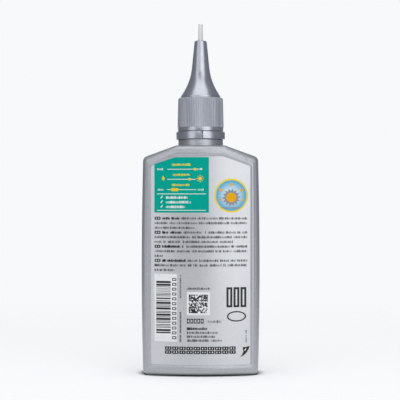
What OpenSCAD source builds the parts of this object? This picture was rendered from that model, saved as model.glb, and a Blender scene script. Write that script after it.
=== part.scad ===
// Chain lube bottle: a flat blow-moulded bottle with a screwed-on dosing spout
// Millimetres, +Z up. The origin is on the floor under the middle of the bottle.
// The face that carries the label looks towards -Y.

/* [Body] */
// Height of the body from the floor to the flat that carries the neck
body_h = 109.3; // [100:0.5:125]
// Width of the body at its widest level
body_w = 56.3; // [52:0.1:64]
// Depth of the body through the middle of its two faces
body_d = 28; // [25:0.5:32]
// Height of the widest level above the floor
widest_z = 52; // [45:1:60]
// How far each side draws in from the widest level to the floor
side_bow = 0.72; // [0:0.04:1.2]
// How far the middle of a face stands out past its two edges
face_bow = 5.5; // [4:0.1:6]
// Width of the flat strip down each side wall
side_flat = 13; // [11:0.2:15]
// Slope of the shoulders below the horizontal
shoulder_angle = 19.6; // [14:0.2:24]
// Width of the flat on top that carries the neck
shoulder_flat = 23; // [22:0.5:26]
// Radius of the four corners, seen from the front
corner_r = 2.8; // [2:0.1:4]
// Wall thickness of the blown body
wall = 0.9; // [0.7:0.05:1.2]
// Thickness of the base at its foot
base_t = 2.2; // [2:0.1:3]
// Depth of the hollow under the base
push_up = 1.2; // [0.6:0.1:1.4]
// Width of the foot that is left round that hollow, at its two ends
foot_w = 4; // [3:0.5:6]
// Height of the surface of the oil above the floor
fill_z = 88.5; // [60:0.1:96]

/* [Frame and label] */
// Width of the rounded edge on the sides, seen from the front
edge_side = 2.2; // [1.6:0.1:2.6]
// Height of the rounded edge along the shoulders and the base
edge_end = 2.6; // [2:0.1:3.2]
// Width of the frame beside the label panel
frame_side = 4.4; // [3.4:0.1:5]
// Height of the frame above and below the label panel
frame_end = 5.15; // [4.4:0.05:6]
// Depth of the label panel below the crest of the frame
panel_depth = 0.4; // [0.2:0.05:0.6]
// Width of the slanted step from the crest down to the panel
panel_step = 0.65; // [0.3:0.05:0.8]
// Radius of the corners of the panel
panel_r = 1.1; // [0.8:0.1:2]
// Margin between the panel step and the edge of the label
label_margin = 0.2; // [0.1:0.05:1]
// Thickness of the label film
label_t = 0.12; // [0.08:0.01:0.2]
// Thickness of the glue under the label
glue_t = 0.03; // [0.02:0.01:0.05]

/* [Neck] */
// Radius of the collar at the foot of the neck
collar_r = 10.8; // [10.3:0.1:11]
// Height of the collar above the shoulder flat
collar_h = 3; // [2:0.1:4]
// Height of the neck rim above the collar
neck_h = 18.9; // [16:0.1:24]
// Outer radius of the threaded neck
neck_r = 7.95; // [7.8:0.05:8.05]
// Radius of the bore through the neck
bore_r = 6.45; // [6:0.05:6.7]
// Radius of the seat of the tamper ring
seat_r = 9.4; // [9.2:0.1:9.5]
// Height that the retaining bead stands out from the seat
bead_h = 0.5; // [0.3:0.05:0.7]

/* [Thread] */
// Pitch of the thread
pitch = 3; // [2.6:0.1:3.2]
// Turns of the thread on the neck
neck_turns = 1.5; // [1.25:0.25:1.75]
// Turns of the thread in the spout cap
cap_turns = 1.25; // [1:0.25:1.5]
// Height that the neck thread stands out
thread_h = 1; // [0.7:0.05:1]
// Width of a thread at its foot
thread_foot = 1.3; // [1:0.05:1.3]
// Width of a thread at its crest
thread_crest = 0.6; // [0.4:0.05:0.7]
// Play between the flanks of the two threads
flank_gap = 0.13; // [0.1:0.01:0.2]

/* [Tamper ring] */
// Outer radius of the ring
ring_r = 11.8; // [11.4:0.1:12.2]
// Height of the ring
ring_h = 3.6; // [3.2:0.1:4.5]
// Height of the inner lip that grips under the bead
lip_h = 1.5; // [1.2:0.1:1.7]
// Width of the slit through the ring
slit_w = 0.35; // [0.2:0.05:0.6]
// Distance of the slit to the right of the middle
slit_x = 0.7; // [-2:0.1:3]

/* [Spout cap] */
// Radius of the smooth band at the foot of the skirt
band_r = 11; // [10.7:0.05:11.2]
// Height of the smooth band
band_h = 2; // [1.2:0.1:3]
// Radius over the ribs at their lower ends
rib_r_low = 11.1; // [10.9:0.01:11.3]
// Radius over the ribs at their upper ends
rib_r_high = 10.8; // [10.6:0.01:10.9]
// Number of ribs round the skirt
rib_n = 72; // [48:4:84]
// Depth of the grooves between the ribs
rib_depth = 0.35; // [0.2:0.05:0.5]
// Height of the rounding over the ribs
skirt_round = 1; // [0.6:0.1:1.4]
// Thickness of the deck over the neck rim
deck_t = 1.2; // [1:0.1:2]
// Radius of the foot of the spout
spout_foot_r = 9.55; // [9.2:0.05:9.6]
// Half angle of the foot of the flare
flare_angle = 31; // [26:1:32]
// Radius of the flare between the foot and the cone
flare_r = 26; // [26:1:31]
// Half angle of the upper cone
cone_angle = 5.5; // [3:0.5:6]
// Length of the upper cone
cone_len = 13; // [10:0.5:18]
// Radius at the top of the cone
tip_r = 3; // [2.6:0.05:3.2]
// Rounding of the edge at the tip
tip_round = 0.7; // [0.3:0.1:0.9]
// Wall thickness of the spout
spout_wall = 1.2; // [0.9:0.1:1.3]
// Depth of the sealing plug inside the neck bore
plug_depth = 2.5; // [2:0.1:4]
// Wall thickness of the sealing plug
plug_t = 0.8; // [0.6:0.05:1]

/* [Dosing tube] */
// Radius of the tube where it leaves the tip
tube_r = 1.2; // [1:0.05:1.3]
// Radius of the tube at its free end
tube_end_r = 1.03; // [0.8:0.01:1.05]
// Radius of the bore of the tube
tube_bore_r = 0.5; // [0.3:0.05:0.6]
// Length of the tube outside the tip
tube_out = 8.1; // [5:0.1:14]
// Length of the tube held in the tip
tube_in = 9.8; // [8:0.1:10]
// Radius of the collar that holds the tube from inside
tube_collar_r = 1.9; // [1.7:0.05:2]
// Height of that collar
tube_collar_h = 1.4; // [1:0.1:2]

/* [Play between pieces] */
// Radial play between turned pieces
turn_gap = 0.2; // [0.15:0.01:0.22]
// Play between the tamper ring and its seats
ring_gap = 0.15; // [0.1:0.01:0.2]
// Play between the plug and the bore of the neck
plug_gap = 0.1; // [0.06:0.01:0.15]
// Play between the neck rim and the deck
seal_gap = 0.05; // [0.03:0.01:0.1]
// Radial play of the dosing tube in the tip
tube_gap = 0.05; // [0.03:0.01:0.08]
// Space between the oil and the walls
oil_gap = 0.08; // [0.05:0.01:0.15]

/* [Hidden] */

// Smallest overlap that joins two solids, and overshoot of a cut
bite = 0.2;
over = 1;
round_fn = 96;

// Outline and edge of the body: counts of segments along each stretch
flat_n = 3;
slope_n = 5;
corner_n = 5;
side_n = 6;
edge_n = 5;

half_w = body_w / 2;
edge_depth = body_d / 2 - face_bow;
bow_ratio = face_bow / edge_depth;
shoulder_z = body_h - (half_w - shoulder_flat / 2) * tan(shoulder_angle) - corner_r;
edge_drop = panel_depth / 2;
inner_r_min = 0.6;

half_n = 2 * (flat_n + slope_n + corner_n + 1) + side_n - 1;
ring_n = 2 * half_n - 2;
last_strip = flat_n + slope_n + corner_n;

// Levels of the neck, the ring and the cap
collar_z = body_h + collar_h;
ring_z = collar_z + ring_gap;
ring_top = ring_z + ring_h;
bead_z = ring_z + lip_h + ring_gap;
rim_z = collar_z + neck_h;
cap_z = ring_top + turn_gap;
deck_low = rim_z + seal_gap;
deck_top = deck_low + deck_t;
rib_z = cap_z + band_h;

// Radii that follow from the fits
bead_r = seat_r + bead_h;
skirt_bore_r = neck_r + thread_h + turn_gap;
cap_crest_r = neck_r + turn_gap;
plug_r = bore_r - plug_gap;
passage_r = plug_r - plug_t;
tip_bore_r = tube_r + tube_gap;

// Thread: the middle of the ridge on the neck starts at thread_z
thread_n = 32;
lead_n = 5;
lead_share = 0.08;
rim_margin = 1.6;
thread_z = rim_z - rim_margin - neck_turns * pitch;
flank_middle = (thread_foot + thread_crest) / 2;
thread_drop = flank_middle + flank_gap;

// Spout: cone, flare and foot, worked out upwards from the deck
foot_h = 0.9;
flare_n = 10;
cone_foot_r = tip_r + cone_len * tan(cone_angle);
flare_foot_r = cone_foot_r + flare_r * (cos(cone_angle) - cos(flare_angle));
foot_z = deck_top + foot_h;
flare_z = foot_z + max(bite, (spout_foot_r - flare_foot_r) / tan(flare_angle));
cone_z = flare_z + flare_r * (sin(flare_angle) - sin(cone_angle));
tip_z = cone_z + cone_len;
tube_seat_z = tip_z - tube_in;

// How far the bow pushes a face out, as a factor, at the distance x from the middle
function bow(x) = 1 + bow_ratio * (1 - pow(x / half_w, 2));

// Half width of the body at height z, with the share k of the sides' bow
function side_x(z, k) = half_w - k * side_bow * pow((z - widest_z) / widest_z, 2);

// Right half of the outline seen from the front, from the bottom middle to the top middle.
// It is drawn in by a at the side, lo at the base and hi at the top, with corners of radius r.
function half_outline(a, lo, hi, k, r) =
    let (
        f = shoulder_flat / 2 - hi * tan(shoulder_angle / 2),
        top = body_h - hi,
        xb = side_x(lo + r, k) - a,
        xt = side_x(shoulder_z, k) - a,
        zt = top - (xt - r - f) * tan(shoulder_angle) - r / cos(shoulder_angle),
        e = xt - r + r * sin(shoulder_angle)
    )
    concat(
        [for (i = [0 : flat_n - 1]) [f * i / flat_n, lo]],
        [for (i = [0 : slope_n - 1]) [f + (e - f) * i / slope_n, lo]],
        [for (i = [0 : corner_n]) let (t = 90 * i / corner_n)
            [xb - r + r * sin(t), lo + r - r * cos(t)]],
        [for (i = [1 : side_n - 1]) let (z = lo + r + (zt - lo - r) * i / side_n)
            [side_x(z, k) - a, z]],
        [for (i = [0 : corner_n]) let (t = (90 - shoulder_angle) * i / corner_n)
            [xt - r + r * cos(t), zt + r * sin(t)]],
        [for (i = [slope_n - 1 : -1 : 0]) let (x = f + (e - f) * i / slope_n)
            [x, top - (x - f) * tan(shoulder_angle)]],
        [for (i = [flat_n - 1 : -1 : 0]) [f * i / flat_n, top]]
    );

// Whole outline as a ring in space, on the face given by s = -1 in front or 1 behind.
// The ring lies at the depth d, follows the bow of the face and is moved in by the skin t.
function outline_ring(s, a, lo, hi, k, r, d, t) =
    let (h = half_outline(a, lo, hi, k, r))
    [for (i = [0 : ring_n - 1])
        let (p = i < half_n ? h[i] : [-h[ring_n - i].x, h[ring_n - i].y])
        [p.x, s * (d * bow(p.x) - t), p.y]];

// Section through the edge of the body, from the side wall to the label panel.
// Each entry holds the inset at the side, the inset at the ends and the depth.
edge_profile = concat(
    [for (i = [0 : edge_n]) let (t = 90 * i / edge_n)
        [edge_side * (1 - cos(t)), edge_end * (1 - cos(t)),
         side_flat / 2 + (edge_depth - edge_drop - side_flat / 2) * sin(t)]],
    [[frame_side - panel_step, frame_end - panel_step, edge_depth],
     [frame_side, frame_end, edge_depth - panel_depth]]
);

// Ring of the body's skin at one entry of the edge profile, moved in by t, and by floor_t below
function skin_ring(s, p, t, floor_t) =
    outline_ring(s, p[0] + t, p[1] + floor_t, p[1] + t, 1 - p[0] / frame_side,
        max(max(corner_r - p[0], panel_r) - t, inner_r_min), p[2], t);

function skin_rings(t, floor_t) = concat(
    [for (i = [len(edge_profile) - 1 : -1 : 0]) skin_ring(-1, edge_profile[i], t, floor_t)],
    [for (p = edge_profile) skin_ring(1, p, t, floor_t)]
);

// Index of a ring's point mirrored to the left, and of the point above a bottom point
function mirrored(i) = (ring_n - i) % ring_n;
function above(i) = half_n - 1 - i;

// Triangles of the right half of a face, in upright strips, wound for a face looking to -Y
half_face = concat(
    [for (i = [0 : last_strip - 2]) each
        [[i, above(i), above(i + 1)], [i, above(i + 1), i + 1]]],
    [for (j = [above(last_strip) : -1 : last_strip + 1]) [above(last_strip - 1), j, j - 1]],
    [[above(last_strip - 1), last_strip, last_strip - 1]]
);
whole_face = concat(half_face, [for (t = half_face) [mirrored(t[2]), mirrored(t[1]), mirrored(t[0])]]);

// Solid between a row of outline rings, ordered from front to back, with strip faces at both ends
module loft(rings) {
    last = (len(rings) - 1) * ring_n;
    sides = [for (j = [0 : len(rings) - 2], i = [0 : ring_n - 1])
        let (a = j * ring_n + i, b = j * ring_n + (i + 1) % ring_n)
        each [[a, b, b + ring_n], [a, b + ring_n, a + ring_n]]];
    front = whole_face;
    back = [for (t = whole_face) [last + t[2], last + t[1], last + t[0]]];
    polyhedron(points = [for (r = rings) each r], faces = concat(sides, front, back));
}

// Helical ridge on a wall of radius wall_at, standing out to crest_at, embedded by bite
module thread_ridge(wall_at, crest_at, z0, turns) {
    steps = round(turns * thread_n);
    inward = crest_at < wall_at;
    root = wall_at + (inward ? bite : -bite);
    function share(i) = min(1, lead_share + min(i, steps - i) / lead_n);
    function section(i) =
        let (
            t = 360 * i / thread_n,
            z = z0 + pitch * i / thread_n,
            c = wall_at + (crest_at - wall_at) * share(i),
            w = thread_foot / 2 + (thread_crest - thread_foot) / 2 * share(i)
        )
        [for (p = [[root, -thread_foot / 2], [c, -w], [c, w], [root, thread_foot / 2]])
            [p.x * cos(t), p.x * sin(t), z + p.y]];
    walls = [for (i = [0 : steps - 1], j = [0 : 3])
        let (a = 4 * i + j, b = 4 * i + (j + 1) % 4)
        each [[a, b, b + 4], [a, b + 4, a + 4]]];
    ends = [[0, 3, 2], [0, 2, 1], [4 * steps, 4 * steps + 1, 4 * steps + 2],
        [4 * steps, 4 * steps + 2, 4 * steps + 3]];
    faces = concat(walls, ends);
    polyhedron(
        points = [for (i = [0 : steps]) each section(i)],
        faces = inward ? [for (f = faces) [f[2], f[1], f[0]]] : faces
    );
}

// Neck without its bore: collar, seat, retaining bead and threaded wall, turned about the axis
module neck_blank() {
    soft = 0.3;
    bead_land = 0.7;
    lead_in = 1.1;
    rotate_extrude($fn = round_fn) polygon([
        [0, body_h - wall], [collar_r, body_h - wall],
        [collar_r, collar_z - soft], [collar_r - soft, collar_z], [seat_r, collar_z],
        [seat_r, bead_z], [bead_r, bead_z], [bead_r, bead_z + bead_land],
        [neck_r, bead_z + bead_land + lead_in],
        [neck_r, rim_z - soft], [neck_r - soft, rim_z], [0, rim_z]
    ]);
}

// Hollow under the base, with slanted walls
module base_hollow() {
    draft = push_up / 2;
    hollow_r = 4;
    x = half_w - side_bow - corner_r - foot_w - hollow_r;
    y = side_flat / 2 - bite - hollow_r;
    hull() for (i = [-1, 1], j = [-1, 1]) translate([i * x, j * y, -over])
        cylinder(h = over + push_up, r1 = hollow_r + over * draft / push_up, r2 = hollow_r - draft, $fn = 32);
}

// Blown bottle: hollow body with two label panels, and the neck with its thread and bead
module bottle() {
    color([0.60, 0.61, 0.64]) {
        difference() {
            union() {
                loft(skin_rings(0, 0));
                neck_blank();
                thread_ridge(neck_r, neck_r + thread_h, thread_z, neck_turns);
            }
            loft(skin_rings(wall, base_t));
            translate([0, 0, body_h - wall - over])
                cylinder(h = rim_z - body_h + wall + 2 * over, r = bore_r, $fn = round_fn);
            base_hollow();
        }
    }
}

// Oil in the body up to its fill line
module lubricant() {
    color([0.78, 0.62, 0.25, 0.8]) intersection() {
        loft(skin_rings(wall + oil_gap, base_t + oil_gap));
        translate([-body_w / 2, -body_d / 2, 0]) cube([body_w, body_d, fill_z]);
    }
}

// Film label in the front panel, curved with it
module label() {
    a = frame_side + label_margin;
    b = frame_end + label_margin;
    d = edge_depth - panel_depth;
    r = panel_r;
    color([0.80, 0.81, 0.83]) loft([
        outline_ring(-1, a, b, b, 0, r, d, -glue_t - label_t),
        outline_ring(-1, a, b, b, 0, r, d, -glue_t)
    ]);
}

// Ring snapped under the bead of the neck, with a slit and a notch in front
module tamper_ring() {
    soft = 0.3;
    lip_r = seat_r + ring_gap;
    inner_r = bead_r + ring_gap;
    notch = 1.1;
    color([0.50, 0.51, 0.55]) difference() {
        rotate_extrude($fn = round_fn) polygon([
            [lip_r, ring_z], [ring_r - soft, ring_z], [ring_r, ring_z + soft],
            [ring_r, ring_top - soft], [ring_r - soft, ring_top], [inner_r, ring_top],
            [inner_r, ring_z + lip_h], [lip_r, ring_z + lip_h]
        ]);
        translate([slit_x, -ring_r - over, ring_z - over])
            cube([slit_w, ring_r + over - seat_r + over, ring_h + 2 * over]);
        translate([slit_x, -seat_r, ring_top]) rotate([90, 0, 0])
            linear_extrude(height = ring_r) polygon([
                [-notch, over], [slit_w, over], [slit_w, -notch], [0, -notch], [-notch, 0]
            ]);
    }
}

// Levels of the skirt's outside: height, radius over the ribs, and groove depth as a share
groove = rib_depth / rib_r_low;
skirt_levels = concat(
    [[cap_z, band_r - bite, 0], [cap_z + bite, band_r, 0], [rib_z - bite, band_r, 0],
     [rib_z, rib_r_low, groove], [deck_top - skirt_round, rib_r_high, groove]],
    [for (t = [30, 60, 90])
        [deck_top - skirt_round * (1 - sin(t)), rib_r_high - (rib_r_high - spout_foot_r) / 1.6 * (1 - cos(t)),
         groove * cos(t)]]
);

// One ring of skirt points: a groove and the two edges of a rib, for each rib
function skirt_ring(level) = [for (i = [0 : rib_n - 1], p = [0, 0.3, 0.7])
    let (t = 360 * (i + p) / rib_n, r = level[1] * (p == 0 ? 1 - level[2] : 1))
    [r * cos(t), r * sin(t), level[0]]];

module skirt_skin() {
    n = 3 * rib_n;
    last = (len(skirt_levels) - 1) * n;
    sides = [for (j = [0 : len(skirt_levels) - 2], i = [0 : n - 1])
        let (a = j * n + i, b = j * n + (i + 1) % n)
        each [[a, a + n, b + n], [a, b + n, b]]];
    polyhedron(
        points = [for (l = skirt_levels) each skirt_ring(l)],
        faces = concat(sides, [[for (i = [0 : n - 1]) i]], [[for (i = [n - 1 : -1 : 0]) last + i]])
    );
}

// Outside of the spout above the foot: straight flare, curved flare and cone, from below upwards
spout_outside = concat(
    [[spout_foot_r, foot_z]],
    [for (i = [0 : flare_n]) let (t = flare_angle + (cone_angle - flare_angle) * i / flare_n)
        [cone_foot_r + flare_r * (cos(cone_angle) - cos(t)), cone_z - flare_r * (sin(t) - sin(cone_angle))]]
);

// Rounded edge at the tip
tip_edge = [for (t = [0, 30, 60, 90])
    [tip_r - tip_round * (1 - cos(t)), tip_z - tip_round * (1 - sin(t))]];

// Spout cap: ribbed skirt with its thread, deck, sealing plug and hollow spout
module spout_cap() {
    inside = concat(
        [[passage_r, deck_low - over]],
        [for (p = spout_outside) if (p.y > foot_z) [min(passage_r, p.x - spout_wall), p.y]],
        [[tip_r + tube_in * tan(cone_angle) - spout_wall, tube_seat_z],
         [tip_bore_r, tube_seat_z], [tip_bore_r, tip_z + over], [0, tip_z + over], [0, deck_low - over]]
    );
    color([0.50, 0.51, 0.55]) {
        difference() {
            union() {
                skirt_skin();
                rotate_extrude($fn = round_fn)
                    polygon(concat([[0, deck_low + bite], [spout_foot_r, deck_low + bite]],
                        spout_outside, tip_edge, [[0, tip_z]]));
            }
            translate([0, 0, cap_z - over]) cylinder(h = deck_low - cap_z + over, r = skirt_bore_r, $fn = round_fn);
            rotate_extrude($fn = round_fn) polygon(inside);
        }
        rotate_extrude($fn = round_fn) polygon([
            [passage_r, deck_low + bite], [passage_r, rim_z - plug_depth], [plug_r - bite, rim_z - plug_depth],
            [plug_r, rim_z - plug_depth + bite], [plug_r, deck_low + bite]
        ]);
        thread_ridge(skirt_bore_r, cap_crest_r, thread_z - thread_drop, cap_turns);
    }
}

// Soft tube through the tip, held by a collar inside
module dosing_tube() {
    seat = tube_seat_z - tube_gap;
    color([0.93, 0.93, 0.90, 0.7]) rotate_extrude($fn = round_fn) polygon([
        [tube_bore_r, seat - tube_collar_h], [tube_collar_r, seat - tube_collar_h],
        [tube_collar_r, seat], [tube_r, seat], [tube_r, tip_z],
        [tube_end_r, tip_z + tube_out], [tube_bore_r, tip_z + tube_out]
    ]);
}

bottle();
lubricant();
label();
tamper_ring();
spout_cap();
dosing_tube();
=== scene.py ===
import math
import random

import bmesh
import bpy
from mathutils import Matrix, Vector


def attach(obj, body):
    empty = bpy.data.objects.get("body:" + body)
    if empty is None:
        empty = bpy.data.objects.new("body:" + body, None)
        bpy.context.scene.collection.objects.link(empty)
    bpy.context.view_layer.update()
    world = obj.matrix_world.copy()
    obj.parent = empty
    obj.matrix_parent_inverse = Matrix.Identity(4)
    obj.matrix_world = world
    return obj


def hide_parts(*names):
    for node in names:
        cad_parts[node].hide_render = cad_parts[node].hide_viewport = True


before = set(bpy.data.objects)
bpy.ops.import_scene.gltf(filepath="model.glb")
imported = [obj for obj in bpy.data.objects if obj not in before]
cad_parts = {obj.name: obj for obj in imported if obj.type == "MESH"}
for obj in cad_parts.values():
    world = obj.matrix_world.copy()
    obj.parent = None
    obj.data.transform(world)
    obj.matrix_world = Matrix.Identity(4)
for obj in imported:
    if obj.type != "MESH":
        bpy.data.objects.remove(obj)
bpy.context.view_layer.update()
scene = bpy.context.scene
scene.view_settings.view_transform = "Standard"
MM = 0.001

# Studio.
# The bottle stands on a pale table between two tall soft boxes in front and two behind, with a
# small one high over the camera and one overhead. The air round it is pale to the eye and dim in
# reflections, as behind dark flags.


def add_node(tree, kind, inputs=None, **settings):
    """Adds a node with its settings; each input takes a value, or a link from a socket."""
    node = tree.nodes.new(kind)
    for name, value in settings.items():
        setattr(node, name, value)
    for key, value in (inputs or {}).items():
        if isinstance(value, bpy.types.NodeSocket):
            tree.links.new(value, node.inputs[key])
        else:
            node.inputs[key].default_value = value
    return node


def calc(tree, operation, *values):
    """Puts numbers or sockets through one Math node and gives back its result socket."""
    node = add_node(tree, "ShaderNodeMath", dict(enumerate(values)), operation=operation)
    return node.outputs[0]


def times(tree, a, b):
    """Multiplies two numbers or sockets."""
    return calc(tree, "MULTIPLY", a, b)


def plus(tree, a, b):
    """Adds two numbers or sockets."""
    return calc(tree, "ADD", a, b)


def minus(tree, a, b):
    """Takes the second number or socket from the first."""
    return calc(tree, "SUBTRACT", a, b)


def vectors(tree, operation, *values):
    """Puts vectors through one Vector Math node and gives back its output sockets."""
    inputs = dict(enumerate(values))
    return add_node(tree, "ShaderNodeVectorMath", inputs, operation=operation).outputs


def mixed(tree, share, first, second):
    """Mixes two shaders by a share and gives back the result socket."""
    return add_node(tree, "ShaderNodeMixShader", {0: share, 1: first, 2: second}).outputs[0]


def smooth_step(tree, value, low, high):
    """Takes a value smoothly from 0 at low to 1 at high."""
    inputs = {0: value, 1: low, 2: high, 3: 0.0, 4: 1.0}
    return add_node(tree, "ShaderNodeMapRange", inputs, interpolation_type="SMOOTHSTEP").outputs[0]


def new_finish(name):
    """Starts a material; gives it back with its empty tree and its Object coordinates."""
    finish = bpy.data.materials.new(name)
    finish.use_nodes = True
    tree = finish.node_tree
    tree.nodes.clear()
    return finish, tree, add_node(tree, "ShaderNodeTexCoord").outputs["Object"]


def surface(tree, inputs):
    """Ends a material in one Principled surface with these inputs."""
    body = add_node(tree, "ShaderNodeBsdfPrincipled", inputs)
    add_node(tree, "ShaderNodeOutputMaterial", {"Surface": body.outputs[0]})


def noise(tree, spot, scale, detail=2.0):
    """Adds a noise texture at a scale per metre and gives back its value."""
    inputs = {"Vector": spot, "Scale": scale, "Detail": detail}
    return add_node(tree, "ShaderNodeTexNoise", inputs).outputs[0]


def soft_box(name, azimuth, elevation, width, height, distance, brightness):
    """Hangs a soft box that faces the bottle; azimuth 0 is the camera's side."""
    lamp = bpy.data.lights.new(name, "AREA")
    lamp.shape = "RECTANGLE"
    lamp.size = width
    lamp.size_y = height
    lamp.energy = brightness * math.pi * width * height
    box = bpy.data.objects.new(name, lamp)
    turned = math.radians(azimuth)
    raised = math.radians(elevation)
    out = distance * math.cos(raised)
    middle_z = 0.08
    up = middle_z + distance * math.sin(raised)
    box.location = (out * math.sin(turned), -out * math.cos(turned), up)
    box.rotation_euler = (math.pi / 2 - raised, 0, turned)
    box.visible_camera = False
    scene.collection.objects.link(box)


backdrop = (0.9387, 0.9473, 0.9647, 1)
air = bpy.data.worlds.new("studio_air")
air.use_nodes = True
scene.world = air
sky = air.node_tree
sky.nodes.clear()
rays = add_node(sky, "ShaderNodeLightPath").outputs
pale = add_node(sky, "ShaderNodeBackground", {"Color": backdrop, "Strength": 1.0}).outputs[0]
fill = add_node(sky, "ShaderNodeBackground", {"Color": (0.97, 0.98, 1, 1), "Strength": 0.34}).outputs[0]
dim = add_node(sky, "ShaderNodeBackground", {"Color": (0.80, 0.85, 1, 1), "Strength": 0.19}).outputs[0]
lighting = mixed(sky, rays["Is Glossy Ray"], fill, dim)
open_view = calc(sky, "MAXIMUM", rays["Is Camera Ray"], rays["Is Transmission Ray"])
add_node(sky, "ShaderNodeOutputWorld", {"Surface": mixed(sky, open_view, lighting, pale)})

soft_box("soft_box_left", -42, 2, 0.53, 1.5, 0.9, 1.02)
soft_box("soft_box_right", 30.5, 0, 0.66, 1.5, 0.9, 1.46)
soft_box("soft_box_above", -2, 70, 1.2, 1.0, 1.05, 1.4)
soft_box("soft_box_front_high", -1, 20, 0.52, 0.3, 0.9, 1.35)
soft_box("soft_box_behind_left", -166, 4, 0.3, 1.2, 1.0, 1.05)
soft_box("soft_box_behind_right", 171, 4, 0.34, 1.2, 1.0, 1.2)

table_mesh = bpy.data.meshes.new("table_top")
table_round = bmesh.new()
bmesh.ops.create_circle(table_round, cap_ends=True, radius=0.5, segments=128)
table_round.to_mesh(table_mesh)
table_round.free()
table = bpy.data.objects.new("table_top", table_mesh)
table.location = (0, 0, -0.00002)
scene.collection.objects.link(table)
table_paint, paint, table_spot = new_finish("table_paint")


def painted_shade_ao(distance):
    """Gives how open the table is within a distance, as the mask of painted shade: 1 in the open, less
    beside the bottle.
    """
    return add_node(paint, "ShaderNodeAmbientOcclusion", {"Distance": distance}, samples=8).outputs["AO"]


def matt_coat_with_painted_shade(colour):
    """Makes a diffuse coat with painted shade: it goes almost black where the table is closed in beside the
    bottle.
    """
    shades = {0: painted_floor_shade, 6: (0.02, 0.02, 0.025, 1), 7: colour}
    tint = add_node(paint, "ShaderNodeMix", shades, data_type="RGBA").outputs[2]
    return add_node(paint, "ShaderNodeBsdfDiffuse", {"Color": tint}).outputs[0]


far = vectors(paint, "LENGTH", table_spot)["Value"]
path_of = add_node(paint, "ShaderNodeLightPath").outputs
# Painted shadow on the table: ambient occlusion darkens it beside the bottle into a dark contact line and a
# wide soft shadow, and glossy rays see a narrower painted shade.
painted_contact_shadow = smooth_step(paint, painted_shade_ao(0.008), 0.36, 0.8)
painted_soft_shadow = plus(paint, 0.76, times(paint, painted_shade_ao(0.03), 0.24))
shade = times(paint, painted_contact_shadow, painted_soft_shadow)
either = {0: path_of["Is Glossy Ray"], 2: shade, 3: painted_shade_ao(0.0015)}
painted_floor_shade = add_node(paint, "ShaderNodeMix", either).outputs[0]
to_light = matt_coat_with_painted_shade((0.84, 0.85, 0.865, 1))
# The table's glow for the camera is dimmed by the same painted shadow.
painted_shade_glow_strength = times(paint, painted_floor_shade, 0.665)
glow = add_node(paint, "ShaderNodeEmission", {"Color": backdrop, "Strength": painted_shade_glow_strength}).outputs[0]
paper = matt_coat_with_painted_shade((0.385, 0.389, 0.396, 1))
bright = add_node(paint, "ShaderNodeAddShader", {0: paper, 1: glow}).outputs[0]
to_eye = calc(paint, "MAXIMUM", path_of["Is Camera Ray"], path_of["Is Glossy Ray"])
top = mixed(paint, to_eye, to_light, bright)
clear = add_node(paint, "ShaderNodeBsdfTransparent").outputs[0]
rim_fade = smooth_step(paint, far, 0.16, 0.48)
add_node(paint, "ShaderNodeOutputMaterial", {"Surface": mixed(paint, rim_fade, top, clear)})
table_mesh.materials.append(table_paint)

lens = bpy.data.cameras.new("camera")
lens.sensor_width = 36
lens.lens = 111.8
lens.clip_start = 0.01
camera = bpy.data.objects.new("camera", lens)
camera.location = (-0.3 * MM, -600 * MM, 83.3 * MM)
camera.rotation_euler = (math.pi / 2, 0, 0)
scene.collection.objects.link(camera)
scene.camera = camera

# Bottle.
# A flat bottle blown in silver pigmented plastic, with bowed faces, a sunk label panel in each,
# and a turned neck that carries a thread, a bead for the snap ring and a collar.

body_h = 109.3
body_w = 56.3
body_d = 28
widest_z = 52
side_bow = 0.72
face_bow = 5.5
side_flat = 13
shoulder_slope = math.radians(19.6)
shoulder_flat = 23
corner_r = 2.8
wall = 0.9
base_t = 2.2
push_up = 1.2
foot_w = 4
edge_side = 2.2
edge_end = 2.6
frame_side = 4.4
frame_end = 5.15
panel_depth = 0.4
panel_step = 0.65
panel_r = 1.1
collar_r = 10.8
collar_z = body_h + 3
rim_z = collar_z + 18.9
neck_r = 7.95
bore_r = 6.45
seat_r = 9.4
bead_r = 9.9
bead_z = collar_z + 1.8
pitch = 3
thread_h = 1
neck_turns = 1.5
thread_z = rim_z - 1.6 - neck_turns * pitch

half_w = body_w / 2
edge_depth = body_d / 2 - face_bow
shoulder_z = body_h - (half_w - shoulder_flat / 2) * math.tan(shoulder_slope) - corner_r

flat_n = 4
slope_n = 14
corner_n = 8
side_n = 30
half_n = 2 * (flat_n + slope_n + corner_n + 1) + side_n - 1
ring_n = 2 * half_n - 2
last_strip = flat_n + slope_n + corner_n


def bow(x):
    """Gives the factor by which the bow pushes a face out at the distance x from the middle."""
    return 1 + face_bow / edge_depth * (1 - (x / half_w) ** 2)


def side_x(z, share):
    """Gives the half width of the body at height z, with a share of the sides' bow."""
    return half_w - share * side_bow * ((z - widest_z) / widest_z) ** 2


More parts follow.
